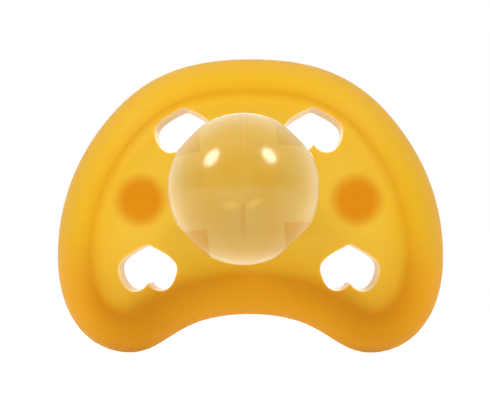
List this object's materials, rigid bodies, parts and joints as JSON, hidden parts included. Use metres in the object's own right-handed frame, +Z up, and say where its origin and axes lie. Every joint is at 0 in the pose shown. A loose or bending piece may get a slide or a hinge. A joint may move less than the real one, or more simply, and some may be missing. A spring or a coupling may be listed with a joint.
{
  "type": "pacifier",
  "caption": "Baby pacifier: soft shield with heart-shaped vents, hollow clear round teat, back bracket with button cap and a hinged ring handle.",
  "frame": {"origin": "centre of the rear button's flat face, on the teat's axis", "axes": "+Y along the teat's axis out of the back (the teat points to -Y), +Z up with the shield's nose notch at the bottom, +X to the right seen from the teat side"},
  "size_m": [0.0478, 0.0397, 0.0362],
  "materials": {
    "shield_silicone": "translucent satin amber",
    "teat_silicone": "clear glossy",
    "plug_plastic": "satin",
    "bracket_plastic": "glossy amber",
    "button_plastic": "glossy cream",
    "ring_plastic": "glossy amber"
  },
  "bodies": {
    "pacifier_body": {"shield": "shield_silicone", "teat": "teat_silicone", "teat_plug": "plug_plastic", "handle_bracket": "bracket_plastic", "button_cap": "button_plastic"},
    "ring": {"ring_handle": "ring_plastic"}
  },
  "joints": [
    {"name": "ring_hinge", "type": "hinge", "parent": "pacifier_body", "child": "ring", "pos_m": [0, -0.0024, 0], "axis": [1, 0, 0], "range_deg": [-6, 186]}
  ]
}
